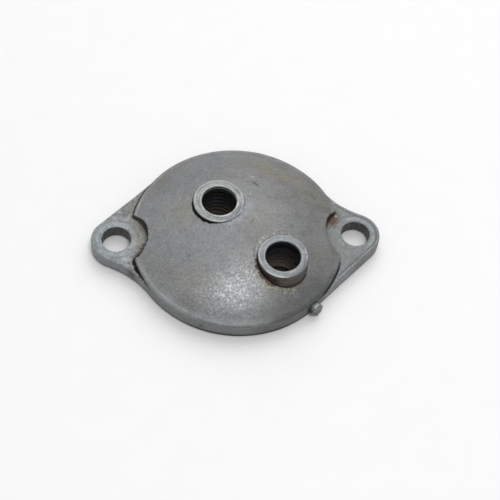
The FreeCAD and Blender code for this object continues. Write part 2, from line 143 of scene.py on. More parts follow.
def f_dome(p):
    x, y, z = p[:, 0], p[:, 1], p[:, 2]
    r, th = polar(p)
    top = smin(sphere_part(p), z - RIM_Z, 0.45)
    body = smax(top, r - DISC_R, 0.55)
    body = smax(body, PLATE_Z - z, 0.06)
    d2 = np.hypot(x - B2X, y - B2Y)
    t2 = np.arctan2(y - B2Y, x - B2X)
    flush2 = step(np.cos(t2 - FLUSH2_A), 0.35, 0.85)
    bead = np.maximum(d2 - B2R - 0.75 * flush2, z - (B2Z - 0.2 + 0.22 * flush2))
    body = smin(body, bead, 0.75)
    spigot = np.maximum(np.maximum(r - 19.95, 0.6 - z), z - 6.0)
    body = np.minimum(body, spigot)
    groove = np.maximum(np.maximum(19.45 - r, 1.0 - z), z - 1.9)
    body = np.maximum(body, -groove)
    hollow = np.maximum(r - 18.6, z - 7.2)
    body = smax(body, -hollow, 0.5)
    for s in (1.0, -1.0):
        bx = x - s * BOLT
        dn = np.hypot(bx, y)
        tn = np.arctan2(y, bx)
        rag = 0.055 * ragged(tn, 7.0, N2)
        near = step(1.6 - y, 0.0, 3.2) if s > 0 else 0.0
        k = 0.32 + 2.6 * near
        body = smax(body, -(dn - NOTCH_R - rag * (1.0 - near) + 0.75 * near), k)
    d1 = np.hypot(x - B1X, y - B1Y)
    t1 = np.arctan2(y - B1Y, x - B1X)
    flush = step(np.cos(t1 - FLUSH_A), 0.1, 0.75)
    far = step(d1, 6.3, 10.5)
    body = smax(body, z - (B1Z + 0.05) - 0.5 * far - 0.3 * (1.0 - flush), 0.15)
    body = smax(body, -(d1 - B1R + 0.32 * flush), 0.08 - 0.05 * flush)
    tg = np.arctan2(y - GY, x - GX)
    rag = 0.07 * ragged(tg, 6.0, N3) + 0.14 * ragged(tg, 15.0, N1) * arc_gap(tg, 206, 268)
    rag = rag - 0.17 + 0.19 * arc_gap(tg, 220, 260) + 0.10 * arc_gap(tg, 164, 192) - 0.12 * arc_gap(tg, 270, 330)
    rag = rag - 0.22 * (1.0 - arc_gap(tg, 160, 282))
    gap = np.maximum(np.hypot(x - GX, y - GY) - 6.17 - rag, 10.6 - z)
    body = smax(body, -gap, 0.12)
    seat = np.maximum(d2 - B2R - 0.02 + 0.34 * flush2, 7.2 - z)
    body = np.maximum(body, -seat)
    body = np.maximum(body, -np.maximum(d2 - 4.82, 0.6 - z))
    return body


SCX = ((TIP_R + SCOOP_R) ** 2 - (DISC_R + SCOOP_R) ** 2 - BOLT ** 2) / (2 * BOLT)
SCY = math.sqrt((DISC_R + SCOOP_R) ** 2 - SCX ** 2)
NX = (DISC_R - TIP_R) / BOLT
NY = math.sqrt(1 - NX * NX)


def outline(x, y):
    out = np.hypot(x, y) - DISC_R
    for s in (1.0, -1.0):
        u, v = x * s, y * s
        tip = np.hypot(u + BOLT, v) - TIP_R
        line = (-NX) * u + NY * v - DISC_R
        # straight side: from the tip's tangent point back to the disc's
        across_tip = -(u + BOLT) * NY + (-v) * NX
        across_o = u * NY + v * NX
        web_a = np.maximum.reduce([line, -v - 2.0, across_tip, across_o])
        # scooped side
        scoop = SCOOP_R - np.hypot(u - SCX, v + SCY)
        cx, cy = SCX + BOLT, -SCY
        n = math.hypot(cx, cy)
        g1 = ((u + BOLT) * cy - v * cx) / n
        m = math.hypot(SCX, SCY)
        g3 = -(u * (-SCY) - v * SCX) / m
        web_b = np.maximum.reduce([scoop, v - 2.0, g1, g3])
        out = np.minimum(out, np.minimum(tip, np.minimum(web_a, web_b)))
    return out


SDX, SDY = math.cos(STUB_A), math.sin(STUB_A)


def f_plate(p):
    x, y, z = p[:, 0], p[:, 1], p[:, 2]
    r, th = polar(p)
    edge = outline(x, y)
    ear = step(r, DISC_R + 0.05, DISC_R + 1.6)
    body = smax(edge, BASE_Z - z, 0.35)
    soft = 0.05 + 0.5 * ear
    body = smax(body, z - PLATE_Z, soft)
    # grime channel at the foot of the dome's edge, deepest at the left front
    lower = arc_gap(th, 182, 214)
    deep = 0.06 + 0.45 * lower
    taper = step(-y, 5.8, 6.8) * (1 - step(-y, 8.0, 12.5))
    wide = 0.10 + 0.70 * lower * taper * (0.8 + 0.7 * ragged(th, 34.0, N4))
    foot = np.maximum(np.abs(r - DISC_R) - np.maximum(wide, 0.08), PLATE_Z - deep - z)
    body = smax(body, -foot, 0.08)
    for s in (1.0, -1.0):
        d = np.hypot(x - s * BOLT, y)
        body = smax(body, -(d - HOLE_R), 0.45)
        # the washer's print: a very shallow ring
        print_ = np.maximum(np.abs(d - 4.75) - 0.55, PLATE_Z - 0.05 - z)
        body = smax(body, -print_, 0.06)
    body = np.maximum(body, -(r - 20.0))
    body = np.maximum(body, -np.maximum(r - 21.6, z - 1.9))
    body = np.maximum(body, -np.maximum(r - 21.0, 3.2 - z))
    u = x * SDX + y * SDY - DISC_R
    v = -x * SDY + y * SDX
    blind = np.maximum(np.hypot(v, z - 2.25) - 0.92, np.maximum(-u - 3.02, u - 0.5))
    return np.maximum(body, -blind)


def f_rear(p):
    x, y, z = p[:, 0] - B1X, p[:, 1] - B1Y, p[:, 2]
    d, th = np.hypot(x, y), np.arctan2(y, x)
    rag = 0.05 * ragged(th, 4.0, N2)
    flush = step(np.cos(th - FLUSH_A), 0.1, 0.75)
    top = smax(np.maximum(d - B1R - np.minimum(rag, 0.0) * (1.0 - flush), 6.5 - z), z - B1Z, 0.42 - 0.34 * flush)
    collar = np.maximum(np.maximum(d - 7.2, 5.7 - z), z - 7.2)
    tail = smax(np.maximum(d - 5.6, z - 6.5), 0.8 - z, 0.3)
    body = np.minimum(np.minimum(top, collar), tail)
    phase = (z - 0.9) / 1.45 - th / (2 * math.pi)
    tooth = np.abs(phase - np.floor(phase) - 0.5) * 2.0
    into = step(z, 0.8, 1.6) * (1 - step(z, 11.55, 11.95))
    wall = PORT_R + 0.36 * np.clip(tooth * 1.25 - 0.1, 0.0, 1.0) * into * (0.85 + 0.45 * ragged(th, 3.0, N4))
    wall = wall + 0.20 * step(z, 11.95, 12.05) * (1 - step(z, 12.2, 12.3))
    body = smax(body, -(d - wall), 0.11)
    return body


def f_front(p):
    x, y, z = p[:, 0] - B2X, p[:, 1] - B2Y, p[:, 2]
    d, th = np.hypot(x, y), np.arctan2(y, x)
    # the mouth's corner is worn away on the side away from the dome's middle
    worn = arc_gap(th, 262, 350)
    flush2 = step(np.cos(th - FLUSH2_A), 0.35, 0.85)
    body = smax(np.maximum(d - B2R, 7.2 - z), z - B2Z, 0.42 + 0.7 * worn - 0.34 * flush2)
    tail = smax(np.maximum(d - 4.8, z - 8.0), 0.6 - z, 0.12)
    body = np.minimum(body, tail)
    lip = 9.65 + 0.10 * ragged(th, 7.0, N3)
    wall = PORT_R + 0.135 * (1 - step(z, lip - 0.12, lip + 0.12))
    # marks of the core down the tube
    wall = wall + 0.10 * np.abs(np.sin(z * 2.3 + 0.4 * np.sin(th * 3.0))) * (1 - step(z, 9.1, 9.5))
    wall = wall - 0.95 * (1 - step(z, 0.75, 1.25)) * arc_gap(th, 4, 176)
    body = smax(body, -(d - wall), 0.24)
    return body


def f_stub(p):
    u = p[:, 0] * SDX + p[:, 1] * SDY - DISC_R
    v = -p[:, 0] * SDY + p[:, 1] * SDX
    w = p[:, 2] - 2.25
    # a lug with flattened faces and dulled corners
    a, b = np.abs(v) - 1.08, np.abs(w + 0.02) - 1.12
    lug = np.hypot(np.maximum(a, 0), np.maximum(b, 0)) + np.minimum(np.maximum(a, b), 0) - 0.52
    lug = smax(lug, np.hypot(v, w) - 1.7, 0.25)
    lug = smax(lug, -u - 0.2, 0.05)
    end = smax(lug, u - 1.9 + 0.12 * v, 0.35)
    crop = (u - 1.62) * 0.72 + (w - 1.05) * 0.62 + (v - 0.3) * 0.2
    end = smax(end, crop, 0.12)
    crop = (u - 1.55) * 0.70 - (v + 0.95) * 0.62 - w * 0.15
    end = smax(end, crop, 0.12)
    shank = np.maximum(np.maximum(np.hypot(v, w) - 0.9, u), -u - 3.0)
    return np.minimum(end, shank)


# -------------------------------------------------------------- mesh building
def project(co, f, rounds=5, cap=0.2):
    e = 0.01
    for k in range(rounds):
        v = f(co)
        g = np.empty_like(co)
        for a in range(3):
            d = np.zeros(3)
            d[a] = e
            g[:, a] = (f(co + d) - v) / e
        n2 = (g * g).sum(1) + 1e-6
        move = -(v / n2)[:, None] * g
        length = np.linalg.norm(move, axis=1) + 1e-12
        move *= np.minimum(1.0, cap / length)[:, None]
        co = co + move
    return co


def relax(co, edges, f, times):
    """Spread crowded points along the surface, then put them back on it."""
    n = len(co)
    count = np.bincount(edges.ravel(), minlength=n)
    for k in range(times):
        mean = np.empty_like(co)
        for a in range(3):
            mean[:, a] = np.bincount(edges[:, 0], co[edges[:, 1], a], n)
            mean[:, a] += np.bincount(edges[:, 1], co[edges[:, 0], a], n)
        co = project(0.5 * co + 0.5 * mean / count[:, None], f, 2)
    return co


def normals_of(co, f):
    e = 0.03
    v = f(co)
    g = np.empty_like(co)
    for a in range(3):
        d = np.zeros(3)
        d[a] = e
        g[:, a] = f(co + d) - v
    return g / (np.linalg.norm(g, axis=1)[:, None] + 1e-9)


def build(name, node, f, voxel, rough=None, rounds=5):
    """A dense closed mesh of the shape f, grown from the node's own solid."""
    src = NODES[node].data.copy()
    tmp = bpy.data.objects.new(name + "_tmp", src)
    bpy.context.scene.collection.objects.link(tmp)
    mod = tmp.modifiers.new("grid", "REMESH")
    mod.mode = "VOXEL"
    mod.voxel_size = voxel * MM
    mod.adaptivity = 0.0
    bpy.context.view_layer.update()
    dg = bpy.context.evaluated_depsgraph_get()
    mesh = bpy.data.meshes.new_from_object(tmp.evaluated_get(dg))
    bpy.data.objects.remove(tmp)
    mesh.name = name
    n = len(mesh.vertices)
    co = np.empty(n * 3, np.float32)
    mesh.vertices.foreach_get("co", co)
    co = co.reshape(-1, 3).astype(float) / MM
    co = project(co, f, rounds)
    edges = np.empty(len(mesh.edges) * 2, np.int32)
    mesh.edges.foreach_get("vertices", edges)
    co = relax(co, edges.reshape(-1, 2), f, 1 if n > 200000 else 2 if n > 40000 else 4)
    nor = normals_of(co, f)
    if rough is not None:
        co = co + nor * rough(co, nor)[:, None]
    mesh.vertices.foreach_set("co", (co * MM).astype(np.float32).ravel())
    mesh.materials.clear()
    mesh.update()
    mesh.shade_smooth()
    obj = bpy.data.objects.new(name, mesh)
    bpy.context.scene.collection.objects.link(obj)
    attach(obj, "root")
    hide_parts(node)
    print(name, n, "points", len(mesh.polygons), "faces", round(time.time() - T0, 1))
    return obj, co, nor


def paint(obj, rgb, mask):
    """rgb in display values 0..255; mask = roughness, grain, shine."""
    mesh = obj.data
    n = len(mesh.vertices)
    c = np.clip(rgb, 1, 255) / 255.0
    lin = np.where(c <= 0.04045, c / 12.92, ((c + 0.055) / 1.055) ** 2.4)
    for label, val in (("tint", lin), ("mask", mask)):
        att = mesh.attributes.new(label, "FLOAT_COLOR", "POINT")
        buf = np.ones((n, 4), np.float32)
        buf[:, :3] = val
        att.data.foreach_set("color", buf.ravel())


def lift(rgb, gain):
    """Scale display values as if the linear reflectance were scaled."""
    return rgb * (np.asarray(gain) ** (1 / 2.2))[..., None] if np.ndim(gain) else rgb * gain ** (1 / 2.2)


def mix(a, b, t):
    t = np.clip(t, 0, 1)[:, None]
    return a * (1 - t) + np.asarray(b, float) * t


def blob(co, x, y, rx, ry, turn=0.0):
    t = math.radians(turn)
    u = (co[:, 0] - x) * math.cos(t) + (co[:, 1] - y) * math.sin(t)
    v = -(co[:, 0] - x) * math.sin(t) + (co[:, 1] - y) * math.cos(t)
    return np.exp(-((u / rx) ** 2 + (v / ry) ** 2))


# ----------------------------------------------------------------- materials
def node(nt, kind, **inputs):
    n = nt.nodes.new(kind)
    for key, val in inputs.items():
        n.inputs[key].default_value = val
    return n


def cast_metal(name, metallic, spec, grain_size=0.28, bump=0.5, coarse=2.2, cloudy=0.16):
    mat = bpy.data.materials.new(name)
    mat.use_nodes = True
    nt = mat.node_tree
    nt.nodes.clear()
    link = nt.links.new
    out = nt.nodes.new("ShaderNodeOutputMaterial")
    bsdf = nt.nodes.new("ShaderNodeBsdfPrincipled")
    bsdf.inputs["Metallic"].default_value = metallic
    bsdf.inputs["Specular IOR Level"].default_value = spec
    link(bsdf.outputs[0], out.inputs[0])
    tint = nt.nodes.new("ShaderNodeAttribute")
    tint.attribute_name = "tint"
    mask = nt.nodes.new("ShaderNodeAttribute")
    mask.attribute_name = "mask"
    split = nt.nodes.new("ShaderNodeSeparateColor")
    link(mask.outputs["Color"], split.inputs[0])
    where = nt.nodes.new("ShaderNodeTexCoord")
    fine = node(nt, "ShaderNodeTexNoise", Scale=1.0 / (grain_size * MM), Detail=3.0, Roughness=0.6)
    mid = node(nt, "ShaderNodeTexNoise", Scale=1.0 / (1.1 * MM), Detail=4.0, Roughness=0.62)
    big = node(nt, "ShaderNodeTexNoise", Scale=1.0 / (coarse * 3.2 * MM), Detail=3.0, Roughness=0.55)
    for t in (fine, mid, big):
        link(where.outputs["Object"], t.inputs["Vector"])
    # brightness = 1 + grain * (fine - .5) + (mid - .5) * .. + (big - .5) * ..
    amt = nt.nodes.new("ShaderNodeMath")
    amt.operation = "MULTIPLY"
    link(split.outputs["Green"], amt.inputs[0])
    amt.inputs[1].default_value = 1.5

    def centred(tex, gain, by=None):
        a = nt.nodes.new("ShaderNodeMath")
        a.operation = "SUBTRACT"
        link(tex.outputs["Fac"], a.inputs[0])
        a.inputs[1].default_value = 0.5
        b = nt.nodes.new("ShaderNodeMath")
        b.operation = "MULTIPLY"
        link(a.outputs[0], b.inputs[0])
        b.inputs[1].default_value = gain
        if by is not None:
            link(by.outputs[0], b.inputs[1])
        return b

    parts = [centred(fine, 0.0, amt), centred(mid, 0.20), centred(big, cloudy)]
    total = parts[0]
    for extra in parts[1:]:
        add = nt.nodes.new("ShaderNodeMath")
        add.operation = "ADD"
        link(total.outputs[0], add.inputs[0])
        link(extra.outputs[0], add.inputs[1])
        total = add
    one = nt.nodes.new("ShaderNodeMath")
    one.operation = "ADD"
    link(total.outputs[0], one.inputs[0])
    one.inputs[1].default_value = 1.0
    scale = nt.nodes.new("ShaderNodeVectorMath")
    scale.operation = "SCALE"
    link(tint.outputs["Color"], scale.inputs[0])
    link(one.outputs[0], scale.inputs["Scale"])
    link(scale.outputs[0], bsdf.inputs["Base Color"])
    # roughness from the mask, broken up by the middle noise
    rr = nt.nodes.new("ShaderNodeMath")
    rr.operation = "MULTIPLY_ADD"
    link(mid.outputs["Fac"], rr.inputs[0])
    rr.inputs[1].default_value = 0.22
    low = nt.nodes.new("ShaderNodeMath")
    low.operation = "SUBTRACT"
    link(split.outputs["Red"], low.inputs[0])
    low.inputs[1].default_value = 0.11
    link(low.outputs[0], rr.inputs[2])
    link(rr.outputs[0], bsdf.inputs["Roughness"])
    b1 = node(nt, "ShaderNodeBump", Strength=bump, Distance=0.05 * MM)
    link(fine.outputs["Fac"], b1.inputs["Height"])
    b2 = node(nt, "ShaderNodeBump", Strength=bump * 0.8, Distance=0.10 * MM)
    link(mid.outputs["Fac"], b2.inputs["Height"])
    link(b1.outputs[0], b2.inputs["Normal"])
    link(b2.outputs[0], bsdf.inputs["Normal"])
    return mat


def plain_rubber(name, colour, rough, grain):
    mat = bpy.data.materials.new(name)
    mat.use_nodes = True
    nt = mat.node_tree
    bsdf = nt.nodes["Principled BSDF"]
    bsdf.inputs["Specular IOR Level"].default_value = 0.3
    link = nt.links.new
    where = nt.nodes.new("ShaderNodeTexCoord")
    tex = node(nt, "ShaderNodeTexNoise", Scale=1.0 / (grain * MM), Detail=5.0, Roughness=0.6)
    link(where.outputs["Object"], tex.inputs["Vector"])
    ramp = nt.nodes.new("ShaderNodeValToRGB")
    ramp.color_ramp.elements[0].position = 0.3
    ramp.color_ramp.elements[1].position = 0.72
    ramp.color_ramp.elements[0].color = [c * 0.55 for c in colour] + [1]
    ramp.color_ramp.elements[1].color = [c * 1.5 for c in colour] + [1]
    link(tex.outputs["Fac"], ramp.inputs[0])
    link(ramp.outputs[0], bsdf.inputs["Base Color"])
    rr = nt.nodes.new("ShaderNodeMath")
    rr.operation = "MULTIPLY_ADD"
    link(tex.outputs["Fac"], rr.inputs[0])
    rr.inputs[1].default_value = 0.25
    rr.inputs[2].default_value = rough - 0.12
    link(rr.outputs[0], bsdf.inputs["Roughness"])
    bump = node(nt, "ShaderNodeBump", Strength=0.4, Distance=0.05 * MM)
    link(tex.outputs["Fac"], bump.inputs["Height"])
    link(bump.outputs[0], bsdf.inputs["Normal"])
    return mat


# --------------------------------------------------------------------- dome
def dome_rough(co, nor):
    up = step(co[:, 2], 4.2, 5.2)
    wave = N1.fbm(co, 9.0, 3) * 0.05 + N2.fbm(co, 2.2, 3) * 0.022
    return up * (np.minimum(wave, 0.05) - 0.055)


dome, co, nor = build("dome_cover_cast", "dome_cover", f_dome, 0.17, dome_rough)
r, th = polar(co)
x, y, z = co.T
base = np.full((len(co), 3), (131.0, 132.0, 133.0))
warm = np.array([126.0, 122.0, 108.0])
# cloudy difference between bluish and olive skin
cloud = N3.fbm(co, 11.0, 4)
base = mix(base, (129, 130, 125), step(cloud, -0.1, 0.6) * 0.6)
base = mix(base, (130, 134, 137), step(-cloud, 0.0, 0.6) * 0.6)
small = N1.fbm(co, 2.6, 4)
base = lift(base, 1.0 + 0.09 * small)
right = step(x * 0.8 - y * 0.25, 2.0, 16.0)
base = mix(base, (116, 117, 113), right * 0.6)
front_right = blob(co, 14, -18, 10, 6, 35)
base = mix(base, (104, 106, 108), front_right * 0.55)
base = lift(base, 1.0 + 0.08 * step(-x * 0.75 - y * 0.66, 2.0, 15.0) * (1 - step(y, 6.0, 16.0)))
base = lift(base, 1.0 - 0.17 * blob(co, 2.0, -4.0, 11.0, 8.5, 20))
base = lift(base, 1.0 - 0.24 * step(r, 19.5, 23.5) * arc_gap(th, 225, 330))
base = lift(base, 1.0 - 0.17 * step(y + 0.25 * x, 0.0, 12.0))
base = lift(base, 1.0 - 0.07 * step(x + 0.2 * y, 6.0, 17.0))
stain = blob(co, 14.5, 11.5, 9, 4.5, -35) + 0.7 * blob(co, 9, 16, 6, 4, -50) + 0.5 * blob(co, 20.5, 8, 3, 3)
base = mix(base, warm, stain * (0.35 + 0.5 * N2.fbm(co, 3.0, 4)))
# smudges and wiped streaks over the far right part
smudge = step(N4.fbm(co * (1.0, 2.2, 1.0), 5.0, 4), 0.05, 0.5) * step(x + 0.6 * y, 2.0, 12.0)
base = lift(base, 1.0 - 0.13 * smudge)
stain2 = blob(co, -12.5, 1.6, 3.0, 4.0, 10)
base = mix(base, (134, 132, 120), stain2 * (0.4 + 0.6 * N1.fbm(co, 2.0, 3)))
d1 = np.hypot(x - B1X, y - B1Y)
d2 = np.hypot(x - B2X, y - B2Y)
t2 = np.arctan2(y - B2Y, x - B2X)
t1 = np.arctan2(y - B1Y, x - B1X)
base = lift(base, 1.0 + 0.10 * N4(co, 0.6))
base = mix(base, (128, 130, 129), blob(co, 20.3, -2.4, 2.2, 4.6, -10) * 0.6)
# rubbed, paler skin toward the front, with a painted highlight where the overhead light catches it
rub_and_highlight = np.clip(blob(co, 0.6, -16.4, 7.5, 4.4, 20) + 0.5 * blob(co, -5.0, -18.5, 6.0, 4.0, 0), 0, 1)
base = mix(base, (146, 147, 150), rub_and_highlight * (0.5 + 0.5 * N4.fbm(co, 1.4, 4)))
# painted glints in that highlight, and dark grain specks
glints_and_specks = N4.fbm(co, 0.46, 2)
base = mix(base, (196, 196, 198), np.clip(rub_and_highlight * 1.1, 0, 1) * step(glints_and_specks, 0.22, 0.5) * 0.65)
base = mix(base, (92, 93, 94), np.clip(rub_and_highlight * 1.1, 0, 1) * step(-glints_and_specks, 0.25, 0.5) * 0.45)
# brown round the proud port's foot
foot = np.exp(-((d2 - B2R) / 0.9) ** 2) * arc_gap(t2, 180, 330)
base = mix(base, (112, 102, 84), foot * (0.45 + 0.8 * N2.fbm(co, 1.1, 4)))
foot = np.exp(-((d2 - B2R - 0.9) / 1.2) ** 2) * arc_gap(t2, 195, 300)
base = mix(base, (160, 155, 138), foot * step(N3.fbm(co, 0.8, 4), 0.0, 0.4) * 0.8)
# painted shade with brown grime in a dark band round the front port's foot, widest on its lower left
shade_w = 0.30 + 0.55 * arc_gap(t2, 176, 256) * (1.0 + 0.9 * ragged(t2, 14.0, N4))
foot_shade_and_grime = step(shade_w - (d2 - B2R), -0.05, 0.30) * arc_gap(t2, 165, 345) * (z > 6) * (d2 < 8)
base = mix(base, (40, 34, 28), foot_shade_and_grime * 0.9)
rust = blob(co, B2X - 3.5, B2Y - 5.0, 0.75, 0.38, -35)
base = mix(base, (132, 84, 48), rust * (0.9 + 0.5 * N1.fbm(co, 0.7, 3)))
# the two crown facing marks
facing = np.exp(-((d2 - B2R - 0.45) / 0.55) ** 2) * np.maximum(arc_gap(t2, 60, 200), 0.25)
base = mix(base, (164, 165, 160), facing * step(N2.fbm(co, 0.8, 3), -0.1, 0.35) * 0.85)
base = mix(base, (88, 88, 84), facing * step(N1.fbm(co, 0.6, 3), 0.25, 0.5) * 0.8)
facing = np.exp(-((d1 - B1R - 0.1) / 0.28) ** 2) * np.maximum(arc_gap(t1, 20, 150), 0.3)
base = mix(base, (150, 150, 148), facing * step(N2.fbm(co, 1.4, 3), -0.3, 0.3) * 0.6)
# where the near side of the rear sleeve is flush, the skin runs on to it
flush = np.exp(-((d1 - B1R - 0.6) / 1.0) ** 2) * np.maximum(arc_gap(t1, 268, 359.9), 0)
base = mix(base, (138, 143, 149), flush * 0.75)
base = mix(base, (84, 86, 90), flush * step(N4.fbm(co, 0.7, 3), 0.25, 0.5) * 0.7)
# painted shade on the walls and floor of the crescent gap, ragged grime and painted shade along its outer edge, and
# a thin painted shade line at the sleeve's left edge
tg = np.arctan2(y - GY, x - GX)
gap_shade = (np.hypot(x - GX, y - GY) < 6.62) & (d1 > 5.9) & ((nor[:, 2] < 0.72) | (z < 10.9)) & (z > 9)
base[gap_shade] = (24, 21, 19)
grime_shade_w = 0.02 + 0.30 * arc_gap(tg, 222, 256) * (1.0 + 1.2 * ragged(tg, 18.0, N4))
dirt = step(grime_shade_w - (np.hypot(x - GX, y - GY) - 6.20), -0.06, 0.14) * arc_gap(tg, 168, 266) * (z > 9)
base = mix(base, (32, 29, 26), dirt * 0.9)
thin = np.exp(-((d1 - B1R - 0.1) / 0.12) ** 2) * arc_gap(t1, 140, 180) * (z > 9)
base = mix(base, (58, 54, 50), thin * 0.7)
# rim
rim = step(r, 24.75, 25.05) * step(z, 3.9, 4.1)
# painted shade: the rim's side wall darker than the top, lifted as painted light on the left front
side = step(nor[:, 2], 0.75, 0.35) * (z > 3.9) * (r > 24)
base = mix(base, (108, 109, 109), side * 0.7)
base = lift(base, 1.0 + 0.40 * side * arc_gap(th, 202, 252))
far_r = step(r, 23.6, 24.6) * arc_gap(th, 278, 342) * (z > 3.9)
base = lift(base, 1.0 - 0.42 * far_r)
front_ = arc_gap(th, 212, 290)
# painted highlight with some wear: a pale strip on the rim's flat just inside its edge, strongest at the front
ledge = np.exp(-((r - 24.55) / 0.25) ** 2) * (nor[:, 2] > 0.8) * np.maximum(0.75 * front_, 0.25 * (y > 5))
base = mix(base, (140, 143, 145), ledge * np.clip(0.35 + 0.8 * N3.fbm(co, 1.6, 3), 0, 1))
groove_ = np.exp(-((r - 24.15) / 0.14) ** 2) * (z > 4.6)
base = mix(base, (104, 105, 106), groove_ * np.clip(0.4 + 0.8 * N2.fbm(co, 1.8, 3), 0, 1) * 0.5)
# painted highlight with some wear on the rim's outer corner, strongest at the front
edge = np.exp(-((r - 25.05) / 0.10) ** 2) * (z > 4.6) * np.maximum(0.8 * front_, 0.2)
base = mix(base, (152, 154, 156), edge * step(N1.fbm(co, 1.8, 3), -0.1, 0.5) * 0.5)
# notch walls: painted shade and grime; on the near half of the right notch, painted light that evens out the wall's
# shading
for s in (1.0, -1.0):
    dn = np.hypot(x - s * BOLT, y)
    far = np.ones(len(co)) if s < 0 else step(y, -0.4, 1.6)
    wn = (dn < NOTCH_R + 0.35) * step(-nor[:, 2], -0.75, -0.35) * (z > 3.9)
    high = step(z, 4.5, 5.0) if s < 0 else np.ones(len(co))
    base = mix(base, (104, 99, 92), wn * far)
    base = mix(base, (46, 41, 36), wn * 0.9 * far * np.clip(high + 0.25 * ragged(np.arctan2(y, x - s * BOLT), 14.0, N2), 0, 1))
    if s > 0:
        base = mix(base, (126, 128, 128), wn * (1.0 - far) * 0.8)
    lip = np.exp(-((dn - NOTCH_R - 0.45) / 0.35) ** 2) * (nor[:, 2] > 0.75)
    base = mix(base, (148, 148, 144), lip * step(N2.fbm(co, 1.3, 3), -0.1, 0.5) * 0.4)
# grime and painted shade: a ragged dark line on the dome along the left notch's lower right edge
tl = np.arctan2(y, x + BOLT)
dl = np.hypot(x + BOLT, y) - NOTCH_R
notch_grime_shade = step(0.42 + 0.26 * ragged(tl, 13.0, N1) - dl, -0.02, 0.12) * arc_gap(tl, 292, 359.9) * (z > 4.2) * (dl < 1.2)
base = mix(base, (38, 34, 29), notch_grime_shade * 0.92)
# grime and painted shade in the seam where the dome's edge meets the ears
foot = (r > 24.9) * step(4.3 - z, 0.0, 0.3) * (z > 3.7)
seam = foot * np.maximum(arc_gap(th, 140, 172), np.maximum(arc_gap(th, 188, 222), 0.8 * arc_gap(th, 312, 346)))
base = mix(base, (34, 31, 28), seam * (0.9 - 0.45 * arc_gap(th, 128, 178)))
# pits, nicks, specks
speck = step(N1.fbm(co * 1.0 + 5.0, 0.55, 3), 0.72, 0.86)
base = mix(base, (60, 58, 56), speck * 0.7)
pale = step(N3.fbm(co + 9.0, 0.6, 3), 0.74, 0.9)
base = mix(base, (172, 174, 174), pale * 0.5)
for (sx, sy, rx, ry, turn, dark) in (
    (4.7, 9.8, 1.1, 0.28, -50, 0.8), (21.3, 0.4, 0.3, 0.3, 0, 0.8), (4.2, 12.4, 0.45, 0.3, 20, -0.6),
    (10.2, 14.6, 0.35, 0.25, 0, 0.6), (-12.0, -9.0, 0.4, 0.2, 40, 0.4), (3.0, -1.6, 0.5, 0.25, 30, 0.5),
    (1.7, -0.9, 0.3, 0.2, 0, 0.45), (12.4, -1.8, 0.3, 0.22, 0, 0.5), (-8.0, 16.0, 0.7, 0.16, 20, 0.35),
):
    k = blob(co, sx, sy, rx, ry, turn) * (z > 5)
    base = mix(base, (58, 57, 55) if dark > 0 else (178, 180, 178), k * abs(dark))
inside = (r < 19.0) & (z < 7.4) | (r < 21) & (z < 3.95)
grey = mix(np.full((len(co), 3), (74.0, 70.0, 66.0)), (52, 42, 33), step(N2.fbm(co, 4.0, 4), -0.1, 0.6) * 0.8)
base[inside] = grey[inside]
mask = np.empty((len(co), 3))
mask[:, 0] = 0.50 + 0.10 * stain + 0.10 * right - 0.07 * rub_and_highlight + 0.08 * N2.fbm(co, 5.0, 3)
mask[:, 1] = 0.72 + 0.7 * rub_and_highlight + 0.3 * right
mask[:, 2] = 0.0
mask[inside, 0] = 0.8
paint(dome, base, np.clip(mask, 0.05, 1.0))
dome.data.materials.append(cast_metal("dome_cast_skin", 0.38, 0.5, 0.34, 1.0))

# -------------------------------------------------------------------- plate


def plate_rough(co, nor):
    rr, _ = polar(co)
    up = step(rr, DISC_R, DISC_R + 0.8)
    wave = N3.fbm(co, 6.0, 3) * 0.045 + N2.fbm(co, 1.6, 3) * 0.02
    return up * (np.minimum(wave, 0.05) - 0.055)


plate, co, nor = build("flange_plate_cast", "flange_plate", f_plate, 0.19, plate_rough)
r, th = polar(co)
x, y, z = co.T
base = np.full((len(co), 3), (132.0, 137.0, 140.0))
cloud = N1.fbm(co, 4.5, 4)
base = mix(base, (120, 124, 124), step(cloud, -0.1, 0.5) * 0.7)
base = mix(base, (144, 149, 152), step(-cloud, 0.05, 0.6) * 0.6)
base = lift(base, np.clip(1.0 + 0.35 * N4.fbm(co, 1.3, 4) + 0.22 * N1(co, 0.55), 0.4, 1.8))
base = mix(base, (112, 115, 116), step(x, 0, 6) * 0.75)
top = nor[:, 2] > 0.8
# painted shade: side walls darker than the top, darkest at the dome's foot and on the right ear's end
side = step(nor[:, 2], 0.7, 0.3) * (outline(x, y) > -0.8)
base = mix(base, (122, 125, 126), side * 0.8)
base = mix(base, (108, 109, 110), side * (r < DISC_R + 0.2) * 0.6)
base = mix(base, (92, 94, 95), side * step(x, 24, 30) * 0.6)
e = outline(x, y)
rubbed = np.exp(-((e + 0.22) / 0.14) ** 2) * (z > 3.4) * (r > DISC_R + 0.3)
base = mix(base, (158, 161, 163), rubbed * np.clip(0.25 + 0.8 * N2.fbm(co, 1.5, 3), 0, 1))
inner = np.exp(-((e + 0.9) / 0.16) ** 2) * (z > 3.7) * (r > DISC_R + 0.6) * (x > 0)
base = mix(base, (66, 69, 70), inner * 0.95)
inner = np.exp(-((e + 0.62) / 0.13) ** 2) * (z > 3.7) * (r > DISC_R + 0.6) * (x > 0)
base = mix(base, (140, 144, 146), inner * 0.6)
